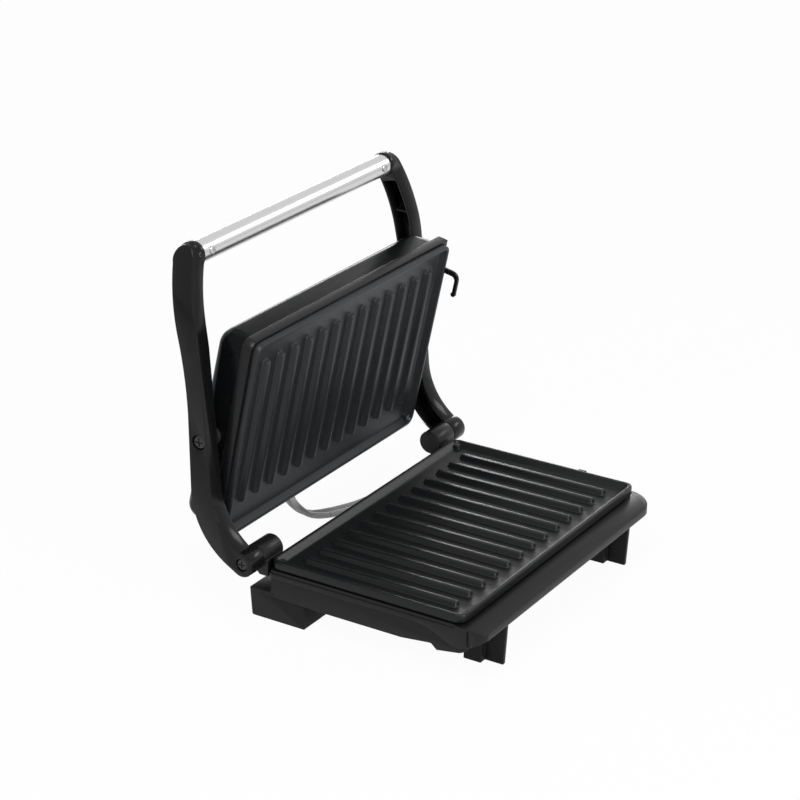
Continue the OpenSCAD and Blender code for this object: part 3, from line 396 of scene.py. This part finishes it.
# %% [markdown]
# ## Cast plates
# Each plate is a pan whose rim rolls over in small radii, with ribs standing on its floor. It could be a
# box with bevels, but a bevel can't give the slope inside the rim and the tight roll on top of it at once.
# So the pan and one rib are lofts: loops of a rounded rectangle, each at its own inset and depth. A
# Geometry Nodes group sets the ribs in a row, and the row is baked and joined to the pan. Both plates use
# the same numbers. Depths are measured from the rim's top, into the press.

# %% Lofts
CORNER_STEPS = 6
SMALLEST_CORNER = 0.6 * MM


def skin(bm, loops):
    """Faces from each loop to the next, and one over each end."""
    count = len(loops[0])
    for near, far in zip(loops, loops[1:]):
        for k in range(count):
            bm.faces.new((near[k], near[(k + 1) % count], far[(k + 1) % count], far[k]))
    bm.faces.new(loops[0])
    bm.faces.new(loops[-1])


def rounded_loop(bm, half_x, half_y, radius, depth, centre_y):
    loop = []
    for corner_x, corner_y, first in ((1, 1, 0), (-1, 1, 90), (-1, -1, 180), (1, -1, 270)):
        for k in range(CORNER_STEPS + 1):
            turn = math.radians(first + 90 * k / CORNER_STEPS)
            loop.append(bm.verts.new((
                corner_x * (half_x - radius) + radius * math.cos(turn),
                centre_y + corner_y * (half_y - radius) + radius * math.sin(turn),
                depth)))
    return loop


def loft(name, half_x, half_y, corner, rows, centre_y=0.0):
    """Rounded rectangles joined one to the next. Each row is an inset and a depth, in millimetres."""
    bm = bmesh.new()
    loops = []
    for inset_mm, depth_mm in rows:
        inset = inset_mm * MM
        radius = max(corner - inset, SMALLEST_CORNER)
        loops.append(rounded_loop(bm, half_x - inset, half_y - inset, radius, depth_mm * MM, centre_y))
    skin(bm, loops)
    return mesh_object(name, bm, smooth_angle=50)


# %% Copies on points, made real
OBJECT, MATERIAL, GEOMETRY = "NodeSocketObject", "NodeSocketMaterial", "NodeSocketGeometry"
COUNT = "NodeSocketInt"


def copies_to_output(tree, given, out, points, rotation=None):
    """The piece on every point, made real and given its material."""
    piece = tree.nodes.new("GeometryNodeObjectInfo")
    tree.links.new(given.outputs["Piece"], piece.inputs["Object"])
    place = tree.nodes.new("GeometryNodeInstanceOnPoints")
    tree.links.new(points, place.inputs["Points"])
    tree.links.new(piece.outputs["Geometry"], place.inputs["Instance"])
    if rotation:
        tree.links.new(rotation, place.inputs["Rotation"])
    real = tree.nodes.new("GeometryNodeRealizeInstances")
    tree.links.new(place.outputs["Instances"], real.inputs["Geometry"])
    coat = tree.nodes.new("GeometryNodeSetMaterial")
    tree.links.new(real.outputs["Geometry"], coat.inputs["Geometry"])
    tree.links.new(given.outputs["Material"], coat.inputs["Material"])
    tree.links.new(coat.outputs["Geometry"], out.inputs["Geometry"])


# %% Copies in a row
# The row is centred: it starts half its length before the middle.
row_tree, row_in, row_out = new_group(
    "copies in a row",
    [("Piece", OBJECT, None), ("Count", COUNT, None), ("Pitch", FLOAT, None), ("Material", MATERIAL, None)],
    [("Geometry", GEOMETRY)],
    "GeometryNodeTree",
)
line = row_tree.nodes.new("GeometryNodeMeshLine")
row_tree.links.new(row_in.outputs["Count"], line.inputs["Count"])
step = row_tree.nodes.new("ShaderNodeCombineXYZ")
row_tree.links.new(row_in.outputs["Pitch"], step.inputs["X"])
row_tree.links.new(step.outputs[0], line.inputs["Offset"])
half_row = math_node(row_tree, "MULTIPLY_ADD", row_in.outputs["Count"], -0.5, 0.5)
start = math_node(row_tree, "MULTIPLY", half_row, row_in.outputs["Pitch"])
start_point = row_tree.nodes.new("ShaderNodeCombineXYZ")
row_tree.links.new(start, start_point.inputs["X"])
row_tree.links.new(start_point.outputs[0], line.inputs["Start Location"])
copies_to_output(row_tree, row_in, row_out, line.outputs["Mesh"])
print(row_tree.name, "nodes:", len(row_tree.nodes))


# %% Run a node group
def baked_copies(name, tree, base_mesh, **values):
    """Run a node group on a mesh and keep its result as a plain mesh."""
    holder = bpy.data.objects.new(name, base_mesh)
    bpy.context.scene.collection.objects.link(holder)
    modifier = holder.modifiers.new("copies", "NODES")
    modifier.node_group = tree
    for item in tree.interface.items_tree:
        if item.item_type == "SOCKET" and item.in_out == "INPUT" and item.name in values:
            modifier[item.identifier] = values[item.name]
    holder.update_tag()
    baked = baked_mesh(holder)
    holder.modifiers.clear()
    holder.data = baked
    return holder


# %% Plate frames
# The lower plate's depths point down, so its frame is mirrored in height. The upper plate is placed from the
# lid's pivot, which lies PIVOT_DEPTH behind the plate's rim and PIVOT_SHIFT off its middle, and is turned
# up from lying flat by LID_OPEN.
low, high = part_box("lower_plate")
PLATE_W, PLATE_D = high.x - low.x, high.y - low.y
LID_OPEN, PIVOT_SHIFT, PIVOT_DEPTH = math.radians(77.5), 0.5 * MM, 21.7 * MM
joints = frame["record"]["behaviour"]["joints"]
pivot = next(joint for joint in joints if joint["name"] == "lid_pivot")["pos_m"]
ON_BASE = Matrix.Translation((0, (low.y + high.y) / 2, high.z)) @ Matrix.Scale(-1, 4, (0, 0, 1))
ON_LID = (Matrix.Translation(pivot) @ Matrix.Rotation(-LID_OPEN, 4, "X")
          @ Matrix.Translation((0, -PIVOT_SHIFT, -PIVOT_DEPTH)))
print("plates:", round(PLATE_W / MM, 1), "by", round(PLATE_D / MM, 1), "mm")

# %% Plate profiles
# Rows of inset and depth. The pan runs from its floor up the inner slope, over the rolled rim, down the
# outer edge, in under it and down the skirt, and ends on its underside. A rib runs from its foot to its top.
PLATE_FLOOR, PLATE_EDGE, PLATE_SKIRT, PLATE_UNDERSIDE = 4.5, 6.0, 12.0, 7.1
PAN_ROWS = [
    (7.2, PLATE_FLOOR), (6.3, PLATE_FLOOR - 0.14), (5.6, PLATE_FLOOR - 0.6),
    (2.9, 0.55), (2.4, 0.12), (1.8, 0.0), (0.7, 0.0), (0.2, 0.2), (0.0, 0.7),
    (0.0, PLATE_EDGE - 0.5), (0.15, PLATE_EDGE - 0.15), (0.5, PLATE_EDGE),
    (4.0, PLATE_EDGE), (4.0, PLATE_SKIRT), (6.0, PLATE_SKIRT), (6.0, PLATE_UNDERSIDE),
]
RIB_ROWS = [
    (-0.5, PLATE_FLOOR + 0.02), (0.0, PLATE_FLOOR - 0.12), (0.25, PLATE_FLOOR - 0.5),
    (1.0, PLATE_FLOOR - 2.55), (1.25, PLATE_FLOOR - 2.95), (1.7, PLATE_FLOOR - 3.2),
]
PLATE_CORNER, RIB_CORNER = 6.5 * MM, 1.9 * MM
RIB_COUNT, RIB_PITCH, RIB_W = 13, 16.33 * MM, 6.4 * MM
LOWER_RIBS, UPPER_RIBS = (-59.8 * MM, 57.2 * MM), (-57 * MM, 52 * MM)

# %% Plates
# In each corner at the hinge end a low seat stands on the floor, and the plate's screw sits on it. The
# seats are a little wider at the foot than at the top. The ribs get the second of the two materials.
SEAT_X, SEAT_Y = PLATE_W / 2 - 6 * MM, PLATE_D / 2 - 6.2 * MM
SEAT_FOOT_R, SEAT_TOP_R, SEAT_H = 3.3 * MM, 3 * MM, 2 * MM


def cast_plate(name, node, body, place, rib_span, pan_finish, rib_finish):
    pan = loft(name, PLATE_W / 2, PLATE_D / 2, PLATE_CORNER, PAN_ROWS)
    rib_from, rib_to = rib_span
    rib = loft(name + " rib", RIB_W / 2, (rib_to - rib_from) / 2, RIB_CORNER, RIB_ROWS,
               (rib_from + rib_to) / 2)
    ribs = baked_copies(name + " ribs", row_tree, bpy.data.meshes.new("row"), Piece=rib, Count=RIB_COUNT,
                        Pitch=RIB_PITCH, Material=rib_finish)
    bm = bmesh.new()
    bm.from_mesh(pan.data)
    pan_faces = len(bm.faces)
    bm.from_mesh(ribs.data)
    bm.faces.ensure_lookup_table()
    for face in bm.faces[pan_faces:]:
        face.material_index = 1
    for side in (-1, 1):
        at = Matrix.Translation((side * SEAT_X, SEAT_Y, PLATE_FLOOR * MM - SEAT_H / 2))
        bmesh.ops.create_cone(bm, cap_ends=True, segments=28, radius1=SEAT_TOP_R, radius2=SEAT_FOOT_R,
                              depth=SEAT_H, matrix=at)
    for extra in (pan, rib, ribs):
        bpy.data.objects.remove(extra)
    bmesh.ops.transform(bm, matrix=place, verts=bm.verts)
    plate = mesh_object(name, bm, smooth_angle=50)
    dress(plate, pan_finish, body, [node])
    plate.data.materials.append(rib_finish)


# The lower plate's darker coat is painted shade, and its paler ribs are a painted highlight.
cast_plate("lower_casting", "lower_plate", "base", ON_BASE, LOWER_RIBS, shaded_plate_coat, rib_highlight_coat)
cast_plate("upper_casting", "upper_plate", "lid", ON_LID, UPPER_RIBS, plate_coat, plate_coat)

# %% [markdown]
# ## Cover
# The cover is the lid's moulded back. Its walls lean in a little, then turn in a quarter round into the
# top, which falls towards the free end and away to both sides. A bevelled box would need the round and the
# fall in two steps. The same kind of loft gives both: the first rows are the plain wall, the round is
# worked out from its radius, and the fall moves each point by how high on the wall it lies.

# %% Cover shell
COVER_HALF_X = PLATE_W / 2 + 2 * MM
COVER_FREE, COVER_HINGE = PLATE_D / 2 + 0.8 * MM, PLATE_D / 2 - 0.4 * MM
COVER_FROM, COVER_DEPTH, COVER_ROUND, COVER_LEAN = 11.7, 38.5, 11.0, 1.6
COVER_CORNER, COVER_FALL, COVER_CROWN = 13 * MM, 3.6 * MM, 1.2 * MM

cover_rows = [(0.0, COVER_FROM), (COVER_LEAN / 2, (COVER_FROM + COVER_DEPTH - COVER_ROUND) / 2)]
for turn in range(0, 91, 10):
    angle = math.radians(turn)
    cover_rows.append((COVER_LEAN + COVER_ROUND * (1 - math.cos(angle)),
                       COVER_DEPTH - COVER_ROUND * (1 - math.sin(angle))))
cover = loft("cover_shell", COVER_HALF_X, (COVER_FREE + COVER_HINGE) / 2, COVER_CORNER, cover_rows,
             (COVER_HINGE - COVER_FREE) / 2)
for vertex in cover.data.vertices:
    rise = (vertex.co.z - COVER_FROM * MM) / ((COVER_DEPTH - COVER_FROM) * MM)
    from_hinge = (COVER_HINGE - vertex.co.y) / (COVER_HINGE + COVER_FREE)
    vertex.co.z -= rise * (COVER_FALL * from_hinge + COVER_CROWN * abs(vertex.co.x) / COVER_HALF_X)
cover.data.transform(ON_LID)
dress(cover, cover_black, "lid", ["upper_cover"])

# %% [markdown]
# ## Screws
# The arms turn on two screws, the lid hangs on two more, and two small ones hold the tube. Their heads are
# domed and have a cross recess. They could be set by hand, but a node group that puts one head on each
# point, turned to face outward, needs only the points. Those come from the solids: a pair's box gives its
# outer faces and its height.

# %% Copies on points
spot_tree, spot_in, spot_out = new_group(
    "copies on points",
    [("Points", GEOMETRY, None), ("Piece", OBJECT, None), ("Material", MATERIAL, None)],
    [("Geometry", GEOMETRY)],
    "GeometryNodeTree",
)
facing = spot_tree.nodes.new("GeometryNodeInputNamedAttribute")
facing.data_type = "FLOAT_VECTOR"
facing.inputs["Name"].default_value = "facing"
turned = spot_tree.nodes.new("FunctionNodeAlignRotationToVector")
spot_tree.links.new(facing.outputs["Attribute"], turned.inputs["Vector"])
copies_to_output(spot_tree, spot_in, spot_out, spot_in.outputs["Points"], turned.outputs["Rotation"])
print(spot_tree.name, "nodes:", len(spot_tree.nodes))

# %% Screw heads
# The dome's rows are shares of the head's radius and height. The recess is two crossed slots.
HEAD_SIDES = 32
DOME_ROWS = [(1.0, -0.4), (1.0, 0.55), (0.93, 0.8), (0.8, 0.93), (0.5, 1.0)]
SLOT_LENGTH, SLOT_WIDTH, SLOT_HEIGHT = 1.25, 0.26, 0.9


def cross_head(name, radius, height):
    bm = bmesh.new()
    turns = [math.tau * k / HEAD_SIDES for k in range(HEAD_SIDES)]
    skin(bm, [[bm.verts.new((radius * share * math.cos(a), radius * share * math.sin(a), height * rise))
               for a in turns] for share, rise in DOME_ROWS])
    head = mesh_object(name, bm, smooth_angle=30)
    slots = bmesh.new()
    size = Matrix.Diagonal((radius * SLOT_LENGTH, radius * SLOT_WIDTH, height * SLOT_HEIGHT, 1))
    for turn in (0, 90):
        at = Matrix.Translation((0, 0, height)) @ Matrix.Rotation(math.radians(turn), 4, "Z")
        bmesh.ops.create_cube(slots, size=1, matrix=at @ size)
    cutter = mesh_object(name + " cross", slots)
    boolean = head.modifiers.new("cross", "BOOLEAN")
    boolean.operation = "DIFFERENCE"
    boolean.solver = "EXACT"
    boolean.use_self = True
    boolean.object = cutter
    baked = baked_mesh(head)
    head.modifiers.clear()
    head.data = baked
    bpy.data.objects.remove(cutter)
    shade(head, 30)
    return head


def set_screws(name, node, body, spots, radius, height, material):
    """spots are (point, facing) pairs; the point is the middle of the head's seat."""
    points = bpy.data.meshes.new(name)
    points.from_pydata([point for point, _ in spots], [], [])
    directions = points.attributes.new("facing", "FLOAT_VECTOR", "POINT")
    for i, (_, facing_way) in enumerate(spots):
        directions.data[i].vector = facing_way
    head = cross_head(name + " head", radius, height)
    obj = baked_copies(name, spot_tree, points, Piece=head, Material=material)
    bpy.data.objects.remove(head)
    shade(obj, 30)
    dress(obj, material, body, [node])


# %% Hinge and pivot screws
SIDE_HEAD_H = 2.2 * MM
HINGE_HEAD_R, PIVOT_HEAD_R = 4.0 * MM, 4.6 * MM


def side_pair(node):
    """The spots of a pair of screws that face out to the left and the right."""
    lowest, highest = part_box(node)
    middle = (lowest + highest) / 2
    reach = highest.x - SIDE_HEAD_H
    return [(Vector((side * reach, middle.y, middle.z)), Vector((side, 0, 0))) for side in (-1, 1)]


set_screws("hinge_screw_heads", "hinge_screws", "base", side_pair("hinge_screws"), HINGE_HEAD_R,
           SIDE_HEAD_H, dark_screw)
set_screws("pivot_screw_heads", "pivot_screws", "lid", side_pair("pivot_screws"), PIVOT_HEAD_R,
           SIDE_HEAD_H, dark_screw)

# %% Handle screws
GRIP_HEAD_R, GRIP_HEAD_H, GRIP_SEAT = 2.6 * MM, 1.1 * MM, 0.9 * MM
GRIP_TILT = math.radians(8)
GRIP_FACING = Vector((0, -math.cos(GRIP_TILT), math.sin(GRIP_TILT)))
grip_low, grip_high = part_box("handle_screws")
grip_x, grip_z = grip_high.x - GRIP_HEAD_R, (grip_low.z + grip_high.z) / 2
grip_spots = [(Vector((side * grip_x, grip_low.y + GRIP_SEAT, grip_z)), GRIP_FACING) for side in (-1, 1)]
set_screws("handle_screw_heads", "handle_screws", "arms", grip_spots, GRIP_HEAD_R, GRIP_HEAD_H, screw_steel)

# %% [markdown]
# ## The link lead
# Two round strands carry the current from the base to the lid, side by side. A curve with a bevel would
# draw them, but a mesh built ring by ring lets the two strands turn from upright to level without
# twisting. They cross both the lid's pivot and the arms' hinge, so each strand has an upper half, which
# runs between lid and arms, and a lower half, which runs between arms and base. The points are those of
# the solids, in millimetres: across from the middle, back from the lower plate's front edge, and up from
# the table. The strands leave the lid one behind the other, lie level near the table, and stand a little
# apart there.

# %% Lead routes
# STRAND_GAP is how far each strand moves out from its neighbour where the pair stands apart.
UPPER_ROUTE = [(-10, 204.66, 52.2), (-10, 205.75, 47.3), (-9.7, 207.2, 40), (-8, 207.2, 32), (-4, 205, 25),
               (2, 201.7, 18.5), (9, 197.6, 15), (17, 192.5, 14)]
LOWER_ROUTE = [(17.3, 192.3, 14), (26, 187.5, 14), (38, 182, 14), (50, 178, 14.5), (60, 174, 16),
               (69, 168.5, 19.5), (75.3, 161.5, 24), (78, 155, 26.4), (78, 150.6, 26.5)]
STRAND_R, STRAND_GAP = 2.2 * MM, 1.0 * MM
STEPS_PER_POINT = 6


def tangent(points, i):
    return (points[min(i + 1, len(points) - 1)] - points[max(i - 1, 0)]).normalized()


def smooth_line(points):
    """A line that passes through every point and turns evenly between them."""
    line = []
    for i in range(len(points) - 1):
        a, b = points[max(i - 1, 0)], points[i]
        c, d = points[i + 1], points[min(i + 2, len(points) - 1)]
        for k in range(STEPS_PER_POINT):
            t = k / STEPS_PER_POINT
            line.append(0.5 * (2 * b + (c - a) * t + (2 * a - 5 * b + 4 * c - d) * t ** 2
                               + (3 * b - a - 3 * c + d) * t ** 3))
    return line + [points[-1]]


def strand_line(route, side, turn, spread):
    """The middle line of one strand, on the route's one or other side.

    turn is how far the pair has turned from upright to level, and spread how far its strands stand apart,
    at the route's start and at its end.
    """
    middle = [Vector((x * MM, PLATE_FRONT + y * MM, z * MM)) for x, y, z in route]
    beside = []
    for i, point in enumerate(middle):
        share = i / (len(middle) - 1)
        level = turn[0] + (turn[1] - turn[0]) * share
        apart = STRAND_R + STRAND_GAP * (spread[0] + (spread[1] - spread[0]) * share)
        across = tangent(middle, i).cross(Vector((level - 1, 0, -level))).normalized()
        beside.append(point + side * apart * across)
    return smooth_line(beside)


# %% Lead strands
# Each ring needs a direction to start from, which must not lie along the strand. RING_START never does.
RING_START = Vector((-0.7, 0.2, -0.7))
STRAND_SIDES = 20


def strand(name, node, line):
    """A tube along the line, which starts at its wall."""
    bm = bmesh.new()
    turns = [math.tau * k / STRAND_SIDES for k in range(STRAND_SIDES)]
    rings = []
    for i, point in enumerate(line):
        along = tangent(line, i)
        across = along.cross(RING_START).normalized()
        up = along.cross(across)
        rings.append([bm.verts.new(point + STRAND_R * (math.cos(a) * across + math.sin(a) * up))
                      for a in turns])
    skin(bm, rings)
    obj = mesh_object(name, bm)
    obj.data.materials.append(lead_sleeve)
    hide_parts(node)
    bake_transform(obj)


for number, side in enumerate((-1, 1), 1):
    from_lid = strand_line(UPPER_ROUTE, side, turn=(0, 1), spread=(0, 1))
    strand(f"lead_upper_{number}", "link_lead_upper", from_lid)
    to_base = strand_line(LOWER_ROUTE, side, turn=(1, 1), spread=(1, 0))
    strand(f"lead_lower_{number}", "link_lead_lower", to_base[::-1])

# %% [markdown]
# ## Light and surroundings
# The press stands on a white floor. A soft lamp hangs above it, a low wide one stands in front and lights
# the lid's plate, a small one on the left gives sharp glints, and two strips behind draw bright lines along
# the ribs. One on the right shows as a bright band along the tube and as a sheen on the hinge barrels. One
# strong lamp would give the floor a white of its own, but it would also wash out the blacks. So the floor
# and the world look white to the camera by themselves. In mirrors the world is a little dimmer and the
# floor much dimmer, so that black plastic stays black. The floor keeps the press's own soft shadow.

# %% World
WHITE_TO = ("Is Camera Ray", "Is Transmission Ray")
AMBIENT, MIRRORED = 0.2, 0.72
world = bpy.data.worlds.new("studio")
bpy.context.scene.world = world
world.use_nodes = True
sky = world.node_tree
seen = sky.nodes.new("ShaderNodeLightPath")
background = sky.nodes["Background"]
background.inputs["Color"].default_value = (1, 1, 1, 1)


def any_ray(tree, path, kinds):
    """1 for a ray of any of these kinds."""
    total = path.outputs[kinds[0]]
    for kind in kinds[1:]:
        total = math_node(tree, "MAXIMUM", total, path.outputs[kind])
    return total


lit_world = remap(sky, seen.outputs["Is Glossy Ray"], AMBIENT, MIRRORED)
strength = remap(sky, any_ray(sky, seen, WHITE_TO), lit_world, 1.0)
sky.links.new(strength, background.inputs["Strength"])
print("world strength on the press:", AMBIENT, "in mirrors:", MIRRORED)

# %% Floor
# FLOOR_WHITE and FLOOR_MIRRORED are how much of the floor is plain white, to the camera and in mirrors. The
# rest is lit by the lamps and takes the shadow.
FLOOR_HALF = 6.0
FLOOR_WHITE, FLOOR_MIRRORED = 0.96, 0.3
floor_bm = bmesh.new()
bmesh.ops.create_grid(floor_bm, x_segments=2, y_segments=2, size=FLOOR_HALF)
floor = mesh_object("studio_floor", floor_bm)
floor_mat = bpy.data.materials.new("white floor")
floor_mat.use_nodes = True
floor_tree = floor_mat.node_tree
floor_tree.nodes.clear()
floor_path = floor_tree.nodes.new("ShaderNodeLightPath")
lit = floor_tree.nodes.new("ShaderNodeBsdfDiffuse")
lit.inputs["Color"].default_value = (0.9, 0.9, 0.9, 1)
glow = floor_tree.nodes.new("ShaderNodeEmission")
glow.inputs["Color"].default_value = (1, 1, 1, 1)
in_mirror = remap(floor_tree, floor_path.outputs["Is Glossy Ray"], 0.0, FLOOR_MIRRORED)
how_white = remap(floor_tree, any_ray(floor_tree, floor_path, WHITE_TO), in_mirror, FLOOR_WHITE)
mix = floor_tree.nodes.new("ShaderNodeMixShader")
floor_tree.links.new(how_white, mix.inputs["Fac"])
floor_tree.links.new(lit.outputs[0], mix.inputs[1])
floor_tree.links.new(glow.outputs[0], mix.inputs[2])
surface = floor_tree.nodes.new("ShaderNodeOutputMaterial")
floor_tree.links.new(mix.outputs[0], surface.inputs["Surface"])
floor.data.materials.append(floor_mat)
print(floor.name, "width:", 2 * FLOOR_HALF, "m")


# %% Lamps
def lamp(name, place, target, size, power):
    data = bpy.data.lights.new(name, "AREA")
    data.shape = "RECTANGLE"
    data.size, data.size_y = size
    data.energy = power
    obj = bpy.data.objects.new(name, data)
    obj.location = place
    obj.rotation_euler = (Vector(target) - Vector(place)).to_track_quat("-Z", "Y").to_euler()
    obj.visible_camera = False
    bpy.context.scene.collection.objects.link(obj)


lamp("top softbox", place=(-0.5, -0.3, 1.7), target=(0, 0, 0.1), size=(0.8, 0.8), power=9)
lamp("front softbox", place=(-0.5, -1.7, 0.5), target=(0, 0.05, 0.12), size=(0.9, 0.5), power=24)
lamp("back strip", place=(2.2, 1.5, 0.5), target=(0, 0, 0.05), size=(2.4, 0.3), power=14)
lamp("left spark", place=(-1.1, -0.1, 1.5), target=(0, 0, 0.15), size=(0.22, 0.5), power=5)
lamp("high back strip", place=(0.2, 1.2, 1.3), target=(0, 0, 0.15), size=(1.2, 0.3), power=2)
lamp("right softbox", place=(1.56, -0.85, 1.05), target=(0, 0.05, 0.12), size=(0.7, 0.45), power=3.5)
print("lamps:", len(bpy.data.lights))
